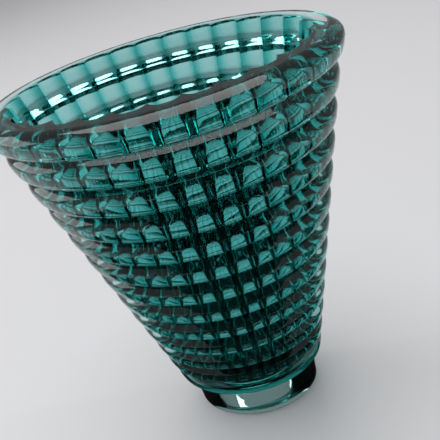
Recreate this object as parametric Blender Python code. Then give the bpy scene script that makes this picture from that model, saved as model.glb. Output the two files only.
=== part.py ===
"""Cut crystal vase: an oval, tapering vessel made of two layers of glass.

The clear outer layer carries a rounded top band, twelve horizontal ribs and a thick plain foot.
The coloured inner layer is the cup that holds the water, with upright flutes cut down its wall.
Metres, +Z up, the origin at the middle of the flat base. X runs along the oval's long axis.
"""
import math

import bmesh
import bpy

# Driving dimensions, in metres.
HEIGHT = 0.240
FOOT_HEIGHT = 0.0300            # from the base to the lowest groove
RIB_COUNT = 12
RIB_PITCH = 0.01624
RIB_BULGE = 0.0060              # how far a rib stands proud of the grooves beside it
RIB_FULLNESS = 3.4              # 2 would make a rib's section a parabola; more flattens its middle
GROOVE_HALF_WIDTH = 0.0598      # half the width at the middle groove
WALL_TAPER = 0.173              # half width gained for each metre of height
DEPTH_RATIO = 0.666             # depth of the oval over its width

BAND_BULGE = 0.0065             # how far the top band stands proud of the groove below it
RIM_HALF_WIDTH = 0.0802         # outer edge of the flat, polished rim
BASE_HALF_WIDTH = 0.0423        # the foot where it meets the table
BASE_EDGE_RADIUS = 0.0016

FLUTE_COUNT = 26
FLUTE_DEPTH_TOP = 0.0040
FLUTE_DEPTH_FLOOR = 0.0020
FLUTE_FULLNESS = 3.2            # the same for a flute's hollow: flat, with steep ridges beside it
FLOOR_HEIGHT = 0.0320           # inside floor above the table
FLOOR_EDGE_RADIUS = 0.0040
MOUTH_HALF_SIZE = (0.0728, 0.0484)   # bottoms of the flutes at the rim: half width, half depth
FLOOR_HALF_SIZE = (0.0355, 0.0220)   # bottoms of the flutes at the floor
LINING_THICKNESS = 0.0018       # coloured glass behind the bottom of a flute
LINING_FLOOR_THICKNESS = 0.0030
LAYER_GAP = 0.0003              # between the two layers, which are fused on the real vase

SEGMENTS_PER_FLUTE = 4
POINTS_PER_TURN = FLUTE_COUNT * SEGMENTS_PER_FLUTE
RIB_STEPS = 4
BAND_STEPS = 6
EDGE_STEPS = 3

MIDDLE_GROOVE_HEIGHT = FOOT_HEIGHT + RIB_COUNT * RIB_PITCH / 2
TOP_GROOVE_HEIGHT = FOOT_HEIGHT + RIB_COUNT * RIB_PITCH


def even_angles(count):
    """Angles that divide an ellipse of this vase's proportions into equal lengths.

    The first one lies half a flute past the end of the long axis, on a ridge.
    """
    fine = 7200
    step = 2 * math.pi / fine
    travelled = [0.0]
    for i in range(fine):
        t = (i + 0.5) * step
        travelled.append(travelled[-1] + math.hypot(math.sin(t), DEPTH_RATIO * math.cos(t)) * step)
    angles = []
    i = 0
    for k in range(count):
        target = travelled[-1] * (k + 0.5 * SEGMENTS_PER_FLUTE) / count
        while i < fine and travelled[i + 1] < target:
            i += 1
        if i == fine:
            i, target = 0, target - travelled[-1]
            while travelled[i + 1] < target:
                i += 1
        part = (target - travelled[i]) / (travelled[i + 1] - travelled[i])
        angles.append((i + part) * step)
    return angles


ANGLES = even_angles(POINTS_PER_TURN)


def groove_half_width(z):
    return GROOVE_HALF_WIDTH + WALL_TAPER * (z - MIDDLE_GROOVE_HEIGHT)


def oval(half_width, half_depth, z):
    """Corners of a plain oval ring, one for each angle."""
    return [(half_width * math.cos(t), half_depth * math.sin(t), z) for t in ANGLES]


def faceted(ring):
    """The same ring with every second corner moved to the middle of its neighbours' chord."""
    count = len(ring)
    return [ring[i] if i % 2 == 0 else
            tuple((a + b) / 2 for a, b in zip(ring[i - 1], ring[(i + 1) % count]))
            for i in range(count)]


def outer_ring(half_width, bulge, z):
    """A ring of the outside: the vase's oval, let out by bulge all round."""
    return oval(half_width + bulge, half_width * DEPTH_RATIO + bulge, z)[::2]


def rib_rings(z_low, z_high, bulge, steps, half_low, half_high):
    """Rings of one convex rib, from its lower groove up to just below its upper one."""
    rings = []
    for i in range(steps):
        t = i / steps
        half = half_low + (half_high - half_low) * t
        out = bulge * (1 - abs(2 * t - 1) ** RIB_FULLNESS)
        rings.append(outer_ring(half, out, z_low + (z_high - z_low) * t))
    return rings


def casing_outside():
    """Rings up the outside of the clear layer, from the base to the rim."""
    rings = []
    for i in range(EDGE_STEPS + 1):
        turn = math.pi / 2 * i / EDGE_STEPS
        inset = BASE_EDGE_RADIUS * (1 - math.sin(turn))
        rings.append(outer_ring(BASE_HALF_WIDTH, -inset, BASE_EDGE_RADIUS * (1 - math.cos(turn))))
    for i in range(RIB_COUNT):
        z = FOOT_HEIGHT + i * RIB_PITCH
        rings += rib_rings(z, z + RIB_PITCH, RIB_BULGE, RIB_STEPS,
                           groove_half_width(z), groove_half_width(z + RIB_PITCH))
    rings += rib_rings(TOP_GROOVE_HEIGHT, HEIGHT, BAND_BULGE, BAND_STEPS,
                       groove_half_width(TOP_GROOVE_HEIGHT), RIM_HALF_WIDTH)
    rings.append(outer_ring(RIM_HALF_WIDTH, 0.0, HEIGHT))
    return rings


def cup_half_size(z):
    """Half width and half depth of the oval through the bottoms of the flutes."""
    t = (z - FLOOR_HEIGHT) / (HEIGHT - FLOOR_HEIGHT)
    return tuple(low + (high - low) * t for low, high in zip(FLOOR_HALF_SIZE, MOUTH_HALF_SIZE))


def joint_ring(z, gap):
    """A ring of the plain wall where the layers meet, gap further out."""
    half_width, half_depth = cup_half_size(z)
    out = LINING_THICKNESS + gap
    return faceted(oval(half_width + out, half_depth + out, z))


def fluted_ring(z, inset=0.0, scale=1.0):
    """A ring of the inside of the cup: a ridge at every fourth corner, a hollow between."""
    half_width, half_depth = cup_half_size(z)
    t = (z - FLOOR_HEIGHT) / (HEIGHT - FLOOR_HEIGHT)
    flute_depth = FLUTE_DEPTH_FLOOR + (FLUTE_DEPTH_TOP - FLUTE_DEPTH_FLOOR) * t
    ring = []
    for i, angle in enumerate(ANGLES):
        across = (i % SEGMENTS_PER_FLUTE) / SEGMENTS_PER_FLUTE
        proud = inset + flute_depth * abs(2 * across - 1) ** FLUTE_FULLNESS * scale
        ring.append(((half_width - proud) * math.cos(angle), (half_depth - proud) * math.sin(angle), z))
    return ring


def cup_inside():
    """Rings up the inside of the cup, from the rounded edge of its floor to the rim."""
    rings = []
    for i in range(EDGE_STEPS):
        turn = math.pi / 2 * i / EDGE_STEPS
        inset = FLOOR_EDGE_RADIUS * (1 - math.sin(turn))
        lift = FLOOR_EDGE_RADIUS * (1 - math.cos(turn))
        ring = fluted_ring(FLOOR_HEIGHT, inset, scale=math.sin(turn))
        rings.append([(x, y, z + lift) for x, y, z in ring])
    rings.append(fluted_ring(FLOOR_HEIGHT + FLOOR_EDGE_RADIUS))
    rings.append(fluted_ring((FLOOR_HEIGHT + HEIGHT) / 2))
    rings.append(fluted_ring(HEIGHT))
    return rings


def closed_shell(name, rings, material):
    """A closed body from rings of corners, each turning left seen from above.

    They run up the outside, over the rim and down the inside, so each band of quads between two
    rings faces out. A fan of triangles closes each end.
    """
    bm = bmesh.new()
    loops = [[bm.verts.new(point) for point in ring] for ring in rings]
    for lower, upper in zip(loops, loops[1:]):
        for i in range(len(lower)):
            bm.faces.new((lower[i - 1], lower[i], upper[i], upper[i - 1]))
    for loop, turns_left in ((loops[0], False), (loops[-1], True)):
        middle = bm.verts.new((0.0, 0.0, loop[0].co.z))
        for i in range(len(loop)):
            corners = (middle, loop[i - 1], loop[i])
            bm.faces.new(corners if turns_left else corners[::-1])
    mesh = bpy.data.meshes.new(name)
    bm.to_mesh(mesh)
    bm.free()
    mesh.shade_smooth()
    mesh.set_sharp_from_angle(angle=math.radians(35))
    mesh.materials.append(material)
    body = bpy.data.objects.new(name, mesh)
    bpy.context.scene.collection.objects.link(body)
    return body


def glass(name, colour, roughness):
    material = bpy.data.materials.new(name)
    material.use_nodes = True
    shader = material.node_tree.nodes["Principled BSDF"]
    shader.inputs["Base Color"].default_value = colour
    shader.inputs["Roughness"].default_value = roughness
    shader.inputs["Metallic"].default_value = 0.0
    shader.inputs["IOR"].default_value = 1.55
    shader.inputs["Transmission Weight"].default_value = 1.0
    return material


def make_clear_casing():
    """The outer layer: up the ribbed outside, over the rim and down the plain joint to its floor."""
    joint_floor = FLOOR_HEIGHT - LINING_FLOOR_THICKNESS - LAYER_GAP
    rings = casing_outside()
    rings.append(joint_ring(HEIGHT, LAYER_GAP)[::2])
    rings.append(joint_ring(joint_floor, LAYER_GAP)[::2])
    return closed_shell("clear_casing", rings, glass("clear_crystal", (0.86, 0.90, 0.88, 1.0), 0.02))


def make_teal_lining():
    """The inner layer: up the plain joint, over the rim and down the flutes to the floor."""
    rings = [joint_ring(FLOOR_HEIGHT - LINING_FLOOR_THICKNESS, 0.0), joint_ring(HEIGHT, 0.0)]
    rings += reversed(cup_inside())
    return closed_shell("teal_lining", rings, glass("teal_crystal", (0.02, 0.33, 0.31, 1.0), 0.02))


for leftover in list(bpy.data.objects):
    bpy.data.objects.remove(leftover, do_unlink=True)

make_clear_casing()
make_teal_lining()
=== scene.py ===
"""Cut crystal vase: the cut surface of both layers of glass, their finish and a plain studio.

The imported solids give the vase's height and the lining's outer size. Each layer is grown again by
its own geometry node tree, with enough points for polished glass to bend light cleanly.
"""
import math

import bpy
from bpy.props import FloatProperty, FloatVectorProperty, IntProperty, PointerProperty, StringProperty
from mathutils import Matrix, Vector


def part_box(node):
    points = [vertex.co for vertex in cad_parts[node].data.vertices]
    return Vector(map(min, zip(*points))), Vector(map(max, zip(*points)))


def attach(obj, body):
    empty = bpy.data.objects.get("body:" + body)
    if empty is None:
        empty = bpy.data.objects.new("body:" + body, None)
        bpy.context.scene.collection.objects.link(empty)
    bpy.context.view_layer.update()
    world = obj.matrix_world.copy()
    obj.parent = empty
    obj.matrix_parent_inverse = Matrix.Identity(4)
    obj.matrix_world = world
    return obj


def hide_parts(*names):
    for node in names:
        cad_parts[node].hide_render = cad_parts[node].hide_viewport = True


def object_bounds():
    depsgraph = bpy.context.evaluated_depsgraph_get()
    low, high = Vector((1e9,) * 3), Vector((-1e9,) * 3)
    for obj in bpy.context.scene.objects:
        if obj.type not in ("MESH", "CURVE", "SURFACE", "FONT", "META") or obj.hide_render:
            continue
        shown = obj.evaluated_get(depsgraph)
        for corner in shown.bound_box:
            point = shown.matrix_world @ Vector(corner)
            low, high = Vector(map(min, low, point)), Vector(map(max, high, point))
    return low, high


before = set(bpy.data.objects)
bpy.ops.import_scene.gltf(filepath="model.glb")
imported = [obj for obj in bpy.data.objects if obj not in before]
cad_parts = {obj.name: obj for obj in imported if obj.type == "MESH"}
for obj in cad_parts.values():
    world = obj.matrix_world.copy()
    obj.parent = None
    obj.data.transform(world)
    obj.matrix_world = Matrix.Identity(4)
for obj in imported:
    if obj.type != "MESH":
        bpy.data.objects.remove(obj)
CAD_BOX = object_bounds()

bl_info = {
    "name": "Cut Crystal Vase",
    "version": (1, 0, 0),
    "blender": (4, 5, 0),
    "location": "View3D > Sidebar > Vase",
    "description": "Builds an oval cased crystal vase with ribs outside and flutes inside",
    "category": "Add Mesh",
}

CASING_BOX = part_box("clear_casing")
LINING_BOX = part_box("teal_lining")
VASE_HEIGHT = CASING_BOX[1].z
LINING_BOTTOM = LINING_BOX[0].z
LINING_HALF_WIDTH = LINING_BOX[1].x     # of the joint oval at the rim
LINING_HALF_DEPTH = LINING_BOX[1].y
FUSED = "fused"                 # mesh attribute: 1 where the two layers grip each other
WELD = 0.000002                 # corners closer than this are one
CRISP_ANGLE = math.radians(28)  # sharper bends than this keep a cut edge
CIRCLE_POINTS = 8192            # fine enough to divide the oval evenly
LAYER_GAP = 0.00001             # between the two layers, which are fused on the real vase
EDGE_FULLNESS = 0.414           # swells a bevel into a rounded edge
RIB_FULLNESS = 3.4              # rounded ribs with a flat middle
FLUTE_FULLNESS = 3.2            # flat hollows with steep ridges between them
GROOVE_SOFTNESS = 0.06          # polishing rounds the grooves a little, as a share of a rib's bulge
RIDGE_SOFTNESS = 0.12           # and the ridges between flutes more, as a share of their depth
TABLE_DROP = 0.0003             # the air film between the polished base and the table

FLUTE_COUNT = 26
POINTS_PER_FLUTE = 16           # even, so that every flute's ridge falls on a corner
POINTS_ROUND = FLUTE_COUNT * POINTS_PER_FLUTE
STEPS_PER_RIB = 12
BAND_STEPS = 16
FOOT_STEPS = 8
EDGE_STEPS = 4
RIM_STEPS = 3
SOLE_STEPS = 4
JOINT_STEPS = 12
WALL_STEPS = 60

WAVE_LENGTH = 0.011             # of the gentle waves that polishing leaves in the surface
WAVE_HEIGHT = 0.00003

TABLE_RADIUS = 4.0
TABLE_SIDES = 96
LAMINATE_ROUGHNESS = 0.4
# Painted shade: the dark cards that only the glass sees stand in for the shaded room and table.
PAINTED_SHADE_COLOUR = "0A0807"
CARD_ROUGHNESS = 0.9
ROOM_COLOUR = "D0D0D2"
ROOM_STRENGTH = 0.5
LIGHT_BOUNCES = 32              # light crosses many glass surfaces before it leaves the vase
MIDDLE = (CAD_BOX[0] + CAD_BOX[1]) / 2


class VaseOutside(bpy.types.PropertyGroup):
    """Sizes of the clear layer's outside."""
    foot_height: FloatProperty(
        name="Foot Height", description="From the table to the lowest groove",
        default=0.0300, min=0.005, unit="LENGTH")
    rib_count: IntProperty(
        name="Ribs", description="Rounded ribs between the foot and the top band", default=12, min=1)
    rib_pitch: FloatProperty(
        name="Rib Pitch", description="Height of one rib, groove to groove",
        default=0.01624, min=0.002, unit="LENGTH")
    rib_bulge: FloatProperty(
        name="Rib Bulge", description="How far a rib stands proud of its grooves",
        default=0.0060, min=0.0, unit="LENGTH")
    band_bulge: FloatProperty(
        name="Band Bulge", description="How far the top band stands proud",
        default=0.0065, min=0.0, unit="LENGTH")
    groove_half_width: FloatProperty(
        name="Groove Half Width", description="Half the width at the lowest groove",
        default=0.042943, min=0.01, unit="LENGTH")
    wall_taper: FloatProperty(
        name="Wall Taper", description="Half width gained for each metre of height", default=0.173)
    depth_ratio: FloatProperty(
        name="Depth Ratio", description="Depth of the oval over its width",
        default=0.666, min=0.1, max=1.0, subtype="FACTOR")
    rim_half_width: FloatProperty(
        name="Rim Half Width", description="Outer edge of the flat rim",
        default=0.0802, min=0.01, unit="LENGTH")
    base_half_width: FloatProperty(
        name="Base Half Width", description="The foot where it meets the table",
        default=0.0423, min=0.01, unit="LENGTH")
    base_edge: FloatProperty(
        name="Base Edge Radius", description="Rounding where the foot meets the table",
        default=0.0016, min=0.0001, unit="LENGTH")


class VaseInside(bpy.types.PropertyGroup):
    """Sizes of the coloured layer and its flutes."""
    flute_count: IntProperty(
        name="Flutes", description="Hollow flutes round the inside", default=FLUTE_COUNT,
        min=3)
    flute_depth_top: FloatProperty(
        name="Flute Depth at Rim", description="Ridge to hollow at the rim",
        default=0.0040, min=0.0, unit="LENGTH")
    flute_depth_floor: FloatProperty(
        name="Flute Depth at Floor", description="Ridge to hollow at the floor",
        default=0.0020, min=0.0, unit="LENGTH")
    lining_wall: FloatProperty(
        name="Lining Wall", description="Coloured glass behind the hollow of a flute",
        default=0.0018, min=0.0002, unit="LENGTH")
    lining_floor: FloatProperty(
        name="Lining Floor", description="Coloured glass under the inside floor",
        default=0.0030, min=0.0002, unit="LENGTH")
    floor_edge: FloatProperty(
        name="Floor Edge Radius", description="Rounding where the wall meets the floor",
        default=0.0040, min=0.0002, unit="LENGTH")
    floor_half_width: FloatProperty(
        name="Floor Half Width", description="Half width of the inside floor",
        default=0.0355, min=0.005, unit="LENGTH")
    floor_half_depth: FloatProperty(
        name="Floor Half Depth", description="Half depth of the inside floor",
        default=0.0220, min=0.005, unit="LENGTH")


class CrystalFinish(bpy.types.PropertyGroup):
    """Colour and polish of the glass."""
    clear_tint: StringProperty(
        name="Clear Tint", description="Colour of the clear crystal, sRGB hex", default="9ADAD7")
    teal_tint: StringProperty(
        name="Teal Tint", description="Colour that the lining passes on, sRGB hex", default="72E6E4")
    teal_strength: FloatProperty(
        name="Teal Strength", description="Light taken away for each metre of coloured glass",
        default=560.0, min=0.0)
    casing_strength: FloatProperty(
        name="Casing Strength", description="Light taken away for each metre of outer glass",
        default=20.0, min=0.0)
    refraction: FloatProperty(
        name="Refractive Index", description="Of full lead crystal", default=1.545, min=1.0, max=2.5)
    roughness: FloatProperty(
        name="Roughness", description="Polished glass is almost perfectly smooth",
        default=0.015, min=0.0, max=1.0, subtype="FACTOR")


class StudioSettings(bpy.types.PropertyGroup):
    """Colour of the table, and the camera."""
    table_colour: StringProperty(
        name="Table", description="Colour of the table, sRGB hex", default="E6E6E8")
    camera_place: FloatVectorProperty(
        name="Camera", description="Where the camera stands", size=3, subtype="TRANSLATION",
        unit="LENGTH", default=(0.0376, -0.2231, 0.3067))
    camera_aim: FloatVectorProperty(
        name="Aim", description="The point at the middle of the view", size=3, subtype="TRANSLATION",
        unit="LENGTH", default=(0.00756, 0.0, 0.1475))
    camera_roll: FloatProperty(
        name="Roll", description="How far the camera is tipped clockwise", subtype="ANGLE",
        default=math.radians(17.4))
    lens: FloatProperty(
        name="Lens", description="Focal length on a 36 mm sensor", default=40.2, min=1.0,
        subtype="DISTANCE_CAMERA")


def add(tree, kind, inputs=None, **settings):
    """Add a node with its settings, and fill its inputs with values or other nodes' outputs."""
    node = tree.nodes.new(kind)
    for name, value in settings.items():
        setattr(node, name, value)
    for key, value in (inputs or {}).items():
        if isinstance(value, bpy.types.NodeSocket):
            tree.links.new(value, node.inputs[key])
        else:
            node.inputs[key].default_value = value
    return node.outputs


def linear(hex_colour):
    """The scene linear colour of an sRGB hex value."""
    parts = [int(hex_colour[i:i + 2], 16) / 255 for i in (0, 2, 4)]
    return tuple(c / 12.92 if c <= 0.04045 else ((c + 0.055) / 1.055) ** 2.4 for c in parts) + (1.0,)


def new_tree(name, sizes):
    """A geometry node tree with one named input for each size, and the sockets that carry them."""
    tree = bpy.data.node_groups.new(name, "GeometryNodeTree")
    for label, value in sizes.items():
        kind = "NodeSocketInt" if isinstance(value, int) else "NodeSocketFloat"
        tree.interface.new_socket(label, in_out="INPUT", socket_type=kind)
    tree.interface.new_socket("Geometry", in_out="OUTPUT", socket_type="NodeSocketGeometry")
    return tree, add(tree, "NodeGroupInput")


def hump(tree, place, count, shift, height, fullness=2.0, softness=0.0):
    """Rounded humps that follow on each other, count of them while place goes from 0 to 1.

    fullness is 2 for a parabola, and more for a flatter hump with steeper flanks. softness, a
    share of the height, rounds the sharp valley between two humps.
    """
    turn = add(tree, "ShaderNodeMath", {0: place, 1: count, 2: shift}, operation="MULTIPLY_ADD")[0]
    part = add(tree, "ShaderNodeMath", {0: turn}, operation="FRACT")[0]
    side = add(tree, "ShaderNodeMath", {0: part, 1: 2.0, 2: -1.0}, operation="MULTIPLY_ADD")[0]
    off = add(tree, "ShaderNodeMath", {0: side}, operation="ABSOLUTE")[0]
    fall = add(tree, "ShaderNodeMath", {0: off, 1: fullness}, operation="POWER")[0]
    arch = add(tree, "ShaderNodeMath", {0: 1.0, 1: fall}, operation="SUBTRACT")[0]
    # A smooth maximum fills the valleys to about this level, and blends over this reach.
    level, reach = softness * 0.5, softness * 1.5
    soft, valley = (add(tree, "ShaderNodeMath", {0: value, 1: level, 2: reach},
                        operation="SMOOTH_MAX")[0] for value in (arch, 0.0))
    return add(tree, "ShaderNodeMapRange", {
        "Value": soft, "From Min": valley, "From Max": 1.0, "To Min": 0.0, "To Max": height},
        clamp=False)[0]


def ring(tree, half_width, half_depth, height, inset=0.0):
    """Half width, half depth and height of a ring, let in by inset all round."""
    full = add(tree, "ShaderNodeCombineXYZ", {"X": half_width, "Y": half_depth, "Z": height})[0]
    let_in = add(tree, "ShaderNodeCombineXYZ", {"X": inset, "Y": inset, "Z": 0.0})[0]
    return add(tree, "ShaderNodeVectorMath", {0: full, 1: let_in}, operation="SUBTRACT")[0]


def oval_direction(tree, depth_ratio, around):
    """Cosine and sine of the place on the oval that lies the given part of its length round it."""
    circle = add(tree, "GeometryNodeCurvePrimitiveCircle", {"Resolution": CIRCLE_POINTS, "Radius": 1.0})
    flat = add(tree, "ShaderNodeCombineXYZ", {"X": 1.0, "Y": depth_ratio, "Z": 1.0})[0]
    place = add(tree, "GeometryNodeInputPosition")[0]
    squeezed = add(tree, "ShaderNodeVectorMath", {0: place, 1: flat}, operation="MULTIPLY")[0]
    oval = add(tree, "GeometryNodeSetPosition", {"Geometry": circle[0], "Position": squeezed})[0]
    found = add(tree, "GeometryNodeSampleCurve", {"Curves": oval, "Factor": around}, mode="FACTOR")
    return add(tree, "ShaderNodeVectorMath", {0: found["Position"], 1: flat}, operation="DIVIDE")[0]


def stretch(tree, depth_ratio, start, end, steps, swell, fused):
    """One stretch of a layer's skin: a grid of even steps round the oval and from start to end.

    start and end give the half width, half depth and height of the first and last ring. swell,
    if there is one, gets the part of the way along and the part of the way round, from 0 to 1, and
    gives how far the skin is let out there. Fused skin is marked, so that the glass can leave it
    out.
    """
    grid = add(tree, "GeometryNodeMeshGrid", {
        "Size X": 1.0, "Size Y": 1.0, "Vertices X": POINTS_ROUND + 1, "Vertices Y": steps + 1})
    # The grid is centred, so half its size brings its corners to 0 and 1.
    corner = add(tree, "ShaderNodeVectorMath", {
        0: add(tree, "GeometryNodeInputPosition")[0], 1: (0.5, 0.5, 0.0)}, operation="ADD")[0]
    part = add(tree, "ShaderNodeSeparateXYZ", {0: corner})
    way = add(tree, "ShaderNodeVectorMath", {0: end, 1: start}, operation="SUBTRACT")[0]
    ring = add(tree, "ShaderNodeVectorMath", {0: way, 1: part["Y"], 2: start}, operation="MULTIPLY_ADD")[0]
    if swell:
        out = swell(part["Y"], part["X"])
        let_out = add(tree, "ShaderNodeCombineXYZ", {"X": out, "Y": out, "Z": 0.0})[0]
        ring = add(tree, "ShaderNodeVectorMath", {0: ring, 1: let_out}, operation="ADD")[0]
    turned = oval_direction(tree, depth_ratio, part["X"])
    flat = add(tree, "ShaderNodeVectorMath", {0: turned, 1: (1.0, 1.0, 0.0)}, operation="MULTIPLY")[0]
    upright = add(tree, "ShaderNodeVectorMath", {0: flat, 1: (0.0, 0.0, 1.0)}, operation="ADD")[0]
    place = add(tree, "ShaderNodeVectorMath", {0: ring, 1: upright}, operation="MULTIPLY")[0]
    placed = add(tree, "GeometryNodeSetPosition", {"Geometry": grid["Mesh"], "Position": place})[0]
    return add(tree, "GeometryNodeStoreNamedAttribute", {
        "Geometry": placed, "Name": FUSED, "Value": float(fused)},
        data_type="FLOAT", domain="FACE")[0]


def close_up(tree, depth_ratio, profile, material):
    """Weld a profile's stretches into one closed skin with crisp cut edges, and give it its glass."""
    joined = add(tree, "GeometryNodeJoinGeometry")
    for start, end, steps, swell, fused in reversed(profile):
        skin = stretch(tree, depth_ratio, start, end, steps, swell, fused)
        tree.links.new(skin, joined[0].node.inputs[0])
    welded = add(tree, "GeometryNodeMergeByDistance", {"Geometry": joined[0], "Distance": WELD})[0]
    smooth = add(tree, "GeometryNodeSetShadeSmooth", {"Geometry": welded, "Shade Smooth": True})[0]
    bend = add(tree, "GeometryNodeInputMeshEdgeAngle")["Unsigned Angle"]
    crisp = add(tree, "FunctionNodeCompare", {"A": bend, "B": CRISP_ANGLE}, operation="GREATER_THAN")[0]
    cut = add(tree, "GeometryNodeSetShadeSmooth", {
        "Geometry": smooth, "Selection": crisp, "Shade Smooth": False}, domain="EDGE")[0]
    real = add(tree, "GeometryNodeRealizeInstances", {"Geometry": cut})[0]
    done = add(tree, "GeometryNodeSetMaterial", {"Geometry": real, "Material": material})[0]
    add(tree, "NodeGroupOutput", {"Geometry": done})


def grow(name, tree, sizes):
    """Run a tree with its sizes and leave the result as a plain mesh object at the origin."""
    seed = bpy.data.objects.new(name + "_seed", bpy.data.meshes.new(name + "_seed"))
    bpy.context.scene.collection.objects.link(seed)
    modifier = seed.modifiers.new("Grow", "NODES")
    modifier.node_group = tree
    for socket in tree.interface.items_tree:
        if socket.in_out == "INPUT":
            modifier[socket.identifier] = sizes[socket.name]
    ready = seed.evaluated_get(bpy.context.evaluated_depsgraph_get())
    mesh = bpy.data.meshes.new_from_object(ready)
    mesh.name = name
    seed.modifiers.remove(modifier)
    bpy.data.objects.remove(seed, do_unlink=True)
    bpy.data.node_groups.remove(tree)
    piece = bpy.data.objects.new(name, mesh)
    bpy.context.scene.collection.objects.link(piece)
    return piece


def casing_tree(size, material):
    """The clear layer: its base, foot, ribs and top band, the rim, and the joint with the lining."""
    tree, given = new_tree("ribbed casing", size)

    def outer_ring(half_width, height, inset=0.0):
        half_depth = add(tree, "ShaderNodeMath", {0: half_width, 1: given["Depth Ratio"]},
                         operation="MULTIPLY")[0]
        return ring(tree, half_width, half_depth, height, inset)

    middle = ring(tree, 0.0, 0.0, 0.0)
    sole = outer_ring(given["Base Half Width"], 0.0, given["Base Edge Radius"])
    base = outer_ring(given["Base Half Width"], given["Base Edge Radius"])
    foot = outer_ring(given["Low Groove Half Width"], given["Foot Height"])
    shoulder = outer_ring(given["High Groove Half Width"], given["Shoulder Height"])
    rim = outer_ring(given["Rim Half Width"], given["Height"])
    joint_rim = ring(tree, given["Joint Half Width"], given["Joint Half Depth"], given["Height"])
    joint_floor = ring(tree, given["Joint Floor Half Width"], given["Joint Floor Half Depth"],
                       given["Joint Floor Height"])
    joint_middle = ring(tree, 0.0, 0.0, given["Joint Floor Height"])
    rounding = add(tree, "ShaderNodeMath", {0: given["Base Edge Radius"], 1: EDGE_FULLNESS},
                   operation="MULTIPLY")[0]

    def base_edge(along, _around):
        return hump(tree, along, 1.0, 0.0, rounding)

    def ribs(along, _around):
        return hump(tree, along, given["Ribs"], 0.0, given["Rib Bulge"], RIB_FULLNESS, GROOVE_SOFTNESS)

    def band(along, _around):
        return hump(tree, along, 1.0, 0.0, given["Band Bulge"], RIB_FULLNESS, GROOVE_SOFTNESS)

    profile = (
        (middle, sole, SOLE_STEPS, None, False),
        (sole, base, EDGE_STEPS, base_edge, False),
        (base, foot, FOOT_STEPS, None, False),
        (foot, shoulder, STEPS_PER_RIB * size["Ribs"], ribs, False),
        (shoulder, rim, BAND_STEPS, band, False),
        (rim, joint_rim, RIM_STEPS, None, False),
        (joint_rim, joint_floor, JOINT_STEPS, None, True),
        (joint_floor, joint_middle, SOLE_STEPS, None, True),
    )
    close_up(tree, given["Depth Ratio"], profile, material)
    return tree


def lining_tree(size, material):
    """The coloured layer: the joint with the casing, the rim, the fluted wall and the cup's floor."""
    tree, given = new_tree("fluted lining", size)

    joint_middle = ring(tree, 0.0, 0.0, given["Joint Floor Height"])
    joint_floor = ring(tree, given["Joint Floor Half Width"], given["Joint Floor Half Depth"],
                       given["Joint Floor Height"])
    joint_rim = ring(tree, given["Joint Half Width"], given["Joint Half Depth"], given["Height"])
    mouth = ring(tree, given["Mouth Half Width"], given["Mouth Half Depth"], given["Height"])
    edge_top = ring(tree, given["Edge Half Width"], given["Edge Half Depth"], given["Edge Height"])
    floor = ring(tree, given["Floor Half Width"], given["Floor Half Depth"], given["Floor Height"],
                 given["Floor Edge Radius"])
    floor_middle = ring(tree, 0.0, 0.0, given["Floor Height"])
    rounding = add(tree, "ShaderNodeMath", {0: given["Floor Edge Radius"], 1: EDGE_FULLNESS},
                   operation="MULTIPLY")[0]

    def flutes(depth, share, around):
        """Hollows of the given depth, scaled by share, with the ridges between them standing in."""
        cut = add(tree, "ShaderNodeMath", {0: depth, 1: share}, operation="MULTIPLY")[0]
        hollow = hump(tree, around, given["Flutes"], 0.5, cut, FLUTE_FULLNESS, RIDGE_SOFTNESS)
        return add(tree, "ShaderNodeMath", {0: hollow, 1: cut}, operation="SUBTRACT")[0]

    def rim_flutes(along, around):
        return flutes(given["Flute Depth Rim"], along, around)

    def wall_flutes(along, around):
        gain = add(tree, "ShaderNodeMath", {
            0: given["Flute Depth Floor"], 1: given["Flute Depth Rim"]}, operation="SUBTRACT")[0]
        depth = add(tree, "ShaderNodeMath", {
            0: gain, 1: along, 2: given["Flute Depth Rim"]}, operation="MULTIPLY_ADD")[0]
        return flutes(depth, 1.0, around)

    def floor_edge(along, around):
        left = add(tree, "ShaderNodeMath", {0: 1.0, 1: along}, operation="SUBTRACT")[0]
        fading = flutes(given["Flute Depth Floor"], left, around)
        arch = hump(tree, along, 1.0, 0.0, rounding)
        return add(tree, "ShaderNodeMath", {0: fading, 1: arch}, operation="ADD")[0]

    profile = (
        (joint_middle, joint_floor, SOLE_STEPS, None, True),
        (joint_floor, joint_rim, JOINT_STEPS, None, True),
        (joint_rim, mouth, RIM_STEPS, rim_flutes, False),
        (mouth, edge_top, WALL_STEPS, wall_flutes, False),
        (edge_top, floor, EDGE_STEPS * 2, floor_edge, False),
        (floor, floor_middle, SOLE_STEPS, None, False),
    )
    close_up(tree, given["Depth Ratio"], profile, material)
    return tree


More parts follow.
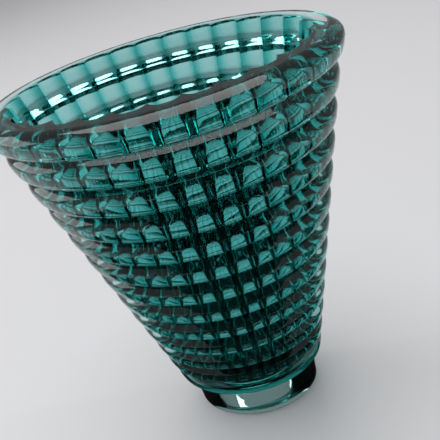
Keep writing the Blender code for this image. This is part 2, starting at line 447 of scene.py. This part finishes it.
def crystal(name, finish, tint, strength):
    """Full lead crystal, cut and polished: bright, strongly refracting and slightly wavy.

    Where the two layers are fused there is no surface to see, so the glass gives way to a clear
    shader. Each layer takes its colour from its own thickness.
    """
    material = bpy.data.materials.new(name)
    material.use_nodes = True
    tree = material.node_tree
    tree.nodes.clear()
    place = add(tree, "ShaderNodeTexCoord")["Object"]
    waves = add(tree, "ShaderNodeTexNoise", {
        "Vector": place, "Scale": 1 / WAVE_LENGTH, "Detail": 1.0, "Roughness": 0.4})[0]
    wavy = add(tree, "ShaderNodeBump", {
        "Height": waves, "Strength": 1.0, "Distance": WAVE_HEIGHT})[0]
    glass = add(tree, "ShaderNodeBsdfPrincipled", {
        "Base Color": (1.0, 1.0, 1.0, 1.0), "Roughness": finish.roughness, "IOR": finish.refraction,
        "Transmission Weight": 1.0, "Normal": wavy})[0]
    nothing = add(tree, "ShaderNodeBsdfTransparent", {"Color": (1.0, 1.0, 1.0, 1.0)})[0]
    fused = add(tree, "ShaderNodeAttribute", attribute_name=FUSED)["Fac"]
    surface = add(tree, "ShaderNodeMixShader", {0: fused, 1: glass, 2: nothing})[0]
    body = add(tree, "ShaderNodeVolumeAbsorption", {"Color": linear(tint), "Density": strength})[0]
    add(tree, "ShaderNodeOutputMaterial", {"Surface": surface, "Volume": body})
    return material


def joint_sizes(inside):
    """Half width, half depth and height of the lining's outside at its bottom."""
    wall = inside.lining_wall
    bottom = inside.floor_half_width, inside.floor_half_depth
    top = LINING_HALF_WIDTH - wall, LINING_HALF_DEPTH - wall
    low = LINING_BOTTOM
    floor_height = low + inside.lining_floor
    fall = (low - floor_height) / (VASE_HEIGHT - floor_height)
    return [b + (t - b) * fall + wall for b, t in zip(bottom, top)] + [low]


class VASE_OT_casing(bpy.types.Operator):
    """Build the clear outer layer with its ribs, top band and foot"""
    bl_idname = "vase.casing"
    bl_label = "Ribbed Casing"

    def execute(self, context):
        outside, inside = context.scene.vase_outside, context.scene.vase_inside
        floor_width, floor_depth, floor_height = joint_sizes(inside)
        size = {
            "Height": VASE_HEIGHT,
            "Foot Height": outside.foot_height,
            "Shoulder Height": outside.foot_height + outside.rib_count * outside.rib_pitch,
            "Ribs": outside.rib_count,
            "Rib Bulge": outside.rib_bulge,
            "Band Bulge": outside.band_bulge,
            "Low Groove Half Width": outside.groove_half_width,
            "High Groove Half Width": (
                outside.groove_half_width
                + outside.wall_taper * outside.rib_count * outside.rib_pitch),
            "Rim Half Width": outside.rim_half_width,
            "Base Half Width": outside.base_half_width,
            "Base Edge Radius": outside.base_edge,
            "Depth Ratio": outside.depth_ratio,
            "Joint Half Width": LINING_HALF_WIDTH + LAYER_GAP,
            "Joint Half Depth": LINING_HALF_DEPTH + LAYER_GAP,
            "Joint Floor Half Width": floor_width + LAYER_GAP,
            "Joint Floor Half Depth": floor_depth + LAYER_GAP,
            "Joint Floor Height": floor_height - LAYER_GAP,
        }
        finish = context.scene.vase_finish
        glass = crystal("clear_lead_crystal", finish, finish.clear_tint, finish.casing_strength)
        piece = grow("ribbed_clear_casing", casing_tree(size, glass), size)
        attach(piece, "root")
        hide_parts("clear_casing")
        return {"FINISHED"}


class VASE_OT_lining(bpy.types.Operator):
    """Build the coloured inner layer with its flutes"""
    bl_idname = "vase.lining"
    bl_label = "Fluted Lining"

    def execute(self, context):
        outside, inside = context.scene.vase_outside, context.scene.vase_inside
        floor_width, floor_depth, joint_height = joint_sizes(inside)
        mouth = (LINING_HALF_WIDTH - inside.lining_wall, LINING_HALF_DEPTH - inside.lining_wall)
        floor = (inside.floor_half_width, inside.floor_half_depth)
        floor_height = joint_height + inside.lining_floor
        rise = inside.floor_edge / (VASE_HEIGHT - floor_height)
        edge_top = [low + (high - low) * rise for low, high in zip(floor, mouth)]
        size = {
            "Height": VASE_HEIGHT,
            "Flutes": inside.flute_count,
            "Flute Depth Rim": inside.flute_depth_top,
            "Flute Depth Floor": inside.flute_depth_floor,
            "Mouth Half Width": mouth[0],
            "Mouth Half Depth": mouth[1],
            "Edge Half Width": edge_top[0],
            "Edge Half Depth": edge_top[1],
            "Edge Height": floor_height + inside.floor_edge,
            "Floor Half Width": floor[0],
            "Floor Half Depth": floor[1],
            "Floor Height": floor_height,
            "Floor Edge Radius": inside.floor_edge,
            "Depth Ratio": outside.depth_ratio,
            "Joint Half Width": LINING_HALF_WIDTH,
            "Joint Half Depth": LINING_HALF_DEPTH,
            "Joint Floor Half Width": floor_width,
            "Joint Floor Half Depth": floor_depth,
            "Joint Floor Height": joint_height,
        }
        finish = context.scene.vase_finish
        glass = crystal("teal_lead_crystal", finish, finish.teal_tint, finish.teal_strength)
        piece = grow("fluted_teal_lining", lining_tree(size, glass), size)
        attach(piece, "root")
        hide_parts("teal_lining")
        return {"FINISHED"}


def soft_light(name, place, size, power):
    """A square, white area light that faces the middle of the vase."""
    data = bpy.data.lights.new(name, "AREA")
    data.size = size
    data.energy = power
    light = bpy.data.objects.new(name, data)
    bpy.context.scene.collection.objects.link(light)
    light.location = place
    light.rotation_euler = (MIDDLE - Vector(place)).to_track_quat("-Z", "Y").to_euler()


def painted_shade_sheet(name, place, width, height, material, flat=False):
    """A card that faces the vase or lies flat, and darkens what the glass reflects and bends: painted
    shade, a dark sheet standing in for shaded surroundings.

    It is hidden from the camera and throws no shadow.
    """
    half_width, half_height = width / 2, height / 2
    mesh = bpy.data.meshes.new(name)
    mesh.from_pydata([(-half_width, -half_height, 0), (half_width, -half_height, 0),
                      (half_width, half_height, 0), (-half_width, half_height, 0)], [], [(0, 1, 2, 3)])
    mesh.materials.append(material)
    sheet = bpy.data.objects.new(name, mesh)
    bpy.context.scene.collection.objects.link(sheet)
    sheet.location = place
    if not flat:
        sheet.rotation_euler = (MIDDLE - Vector(place)).to_track_quat("Z", "Y").to_euler()
    sheet.visible_camera = sheet.visible_diffuse = sheet.visible_shadow = False


def plain_finish(name, colour, roughness):
    """An even, opaque finish: matt laminate with a faint sheen, or the dull dark finish of the painted
    shade cards.
    """
    material = bpy.data.materials.new(name)
    material.use_nodes = True
    shader = material.node_tree.nodes["Principled BSDF"]
    shader.inputs["Base Color"].default_value = linear(colour)
    shader.inputs["Roughness"].default_value = roughness
    return material


class VASE_OT_stage(bpy.types.Operator):
    """Set up the table, the lights, the dark cards of painted shade and the camera"""
    bl_idname = "vase.stage"
    bl_label = "Stage"

    def execute(self, context):
        scene, studio = context.scene, context.scene.vase_studio
        mesh = bpy.data.meshes.new("table")
        turns = [2 * math.pi * i / TABLE_SIDES for i in range(TABLE_SIDES)]
        corners = [(TABLE_RADIUS * math.cos(t), TABLE_RADIUS * math.sin(t), 0.0) for t in turns]
        mesh.from_pydata(corners, [], [tuple(range(TABLE_SIDES))])
        mesh.materials.append(
            plain_finish("matt_laminate", studio.table_colour, LAMINATE_ROUGHNESS))
        table = bpy.data.objects.new("table", mesh)
        scene.collection.objects.link(table)
        table.location.z = -TABLE_DROP
        soft_light("overhead_softbox", place=(-0.1, 0.25, 2.3), size=2.0, power=34.0)
        soft_light("left_window", place=(-2.0, 0.3, 0.9), size=1.4, power=12.0)
        shade_card_finish = plain_finish("painted_shade_card", PAINTED_SHADE_COLOUR, CARD_ROUGHNESS)
        # Painted shade: a dark sheet, seen only in reflections and through the glass, for the dark room
        # behind the camera.
        painted_shade_sheet("camera_side_painted_shade", place=(0.1, -1.2, 0.9), width=1.7, height=2.0, material=shade_card_finish)
        # Painted shade: a dark sheet on the table, seen only in reflections and through the glass, for the
        # table shaded in front of the vase and under the front of its foot.
        painted_shade_sheet("table_painted_shade", place=(0.03, -0.72, -TABLE_DROP / 2), width=0.6, height=1.46,
             material=shade_card_finish, flat=True)

        world = bpy.data.worlds.new("pale_room")
        scene.world = world
        world.use_nodes = True
        room = world.node_tree.nodes["Background"].inputs
        room["Color"].default_value = linear(ROOM_COLOUR)
        room["Strength"].default_value = ROOM_STRENGTH

        data = bpy.data.cameras.new("camera")
        data.lens = studio.lens
        camera = bpy.data.objects.new("camera", data)
        scene.collection.objects.link(camera)
        place, aim = Vector(studio.camera_place), Vector(studio.camera_aim)
        turn = (aim - place).to_track_quat("-Z", "Y").to_matrix().to_4x4()
        camera.matrix_world = (
            Matrix.Translation(place) @ turn @ Matrix.Rotation(-studio.camera_roll, 4, "Z"))
        scene.camera = camera
        scene.view_settings.view_transform = "Standard"
        scene.cycles.max_bounces = LIGHT_BOUNCES
        scene.cycles.transmission_bounces = LIGHT_BOUNCES
        scene.cycles.transparent_max_bounces = LIGHT_BOUNCES
        return {"FINISHED"}


class VASE_PT_panel(bpy.types.Panel):
    """Sizes, finish and buttons for the vase"""
    bl_idname = "VASE_PT_panel"
    bl_label = "Cut Crystal Vase"
    bl_space_type = "VIEW_3D"
    bl_region_type = "UI"
    bl_category = "Vase"

    def draw(self, context):
        layout = self.layout
        for group in SETTINGS:
            settings = getattr(context.scene, group)
            box = layout.box()
            for name in settings.bl_rna.properties.keys():
                if name not in ("rna_type", "name"):
                    box.prop(settings, name)
        for operator in OPERATORS:
            layout.operator(operator.bl_idname)


SETTINGS = {
    "vase_outside": VaseOutside,
    "vase_inside": VaseInside,
    "vase_finish": CrystalFinish,
    "vase_studio": StudioSettings,
}
OPERATORS = (VASE_OT_casing, VASE_OT_lining, VASE_OT_stage)


def register():
    for group, settings in SETTINGS.items():
        bpy.utils.register_class(settings)
        setattr(bpy.types.Scene, group, PointerProperty(type=settings))
    for kind in (*OPERATORS, VASE_PT_panel):
        bpy.utils.register_class(kind)


def unregister():
    for kind in (VASE_PT_panel, *reversed(OPERATORS)):
        bpy.utils.unregister_class(kind)
    for group, settings in reversed(SETTINGS.items()):
        delattr(bpy.types.Scene, group)
        bpy.utils.unregister_class(settings)


def main():
    register()
    bpy.ops.vase.casing()
    bpy.ops.vase.lining()
    bpy.ops.vase.stage()


if __name__ == "__main__":
    main()
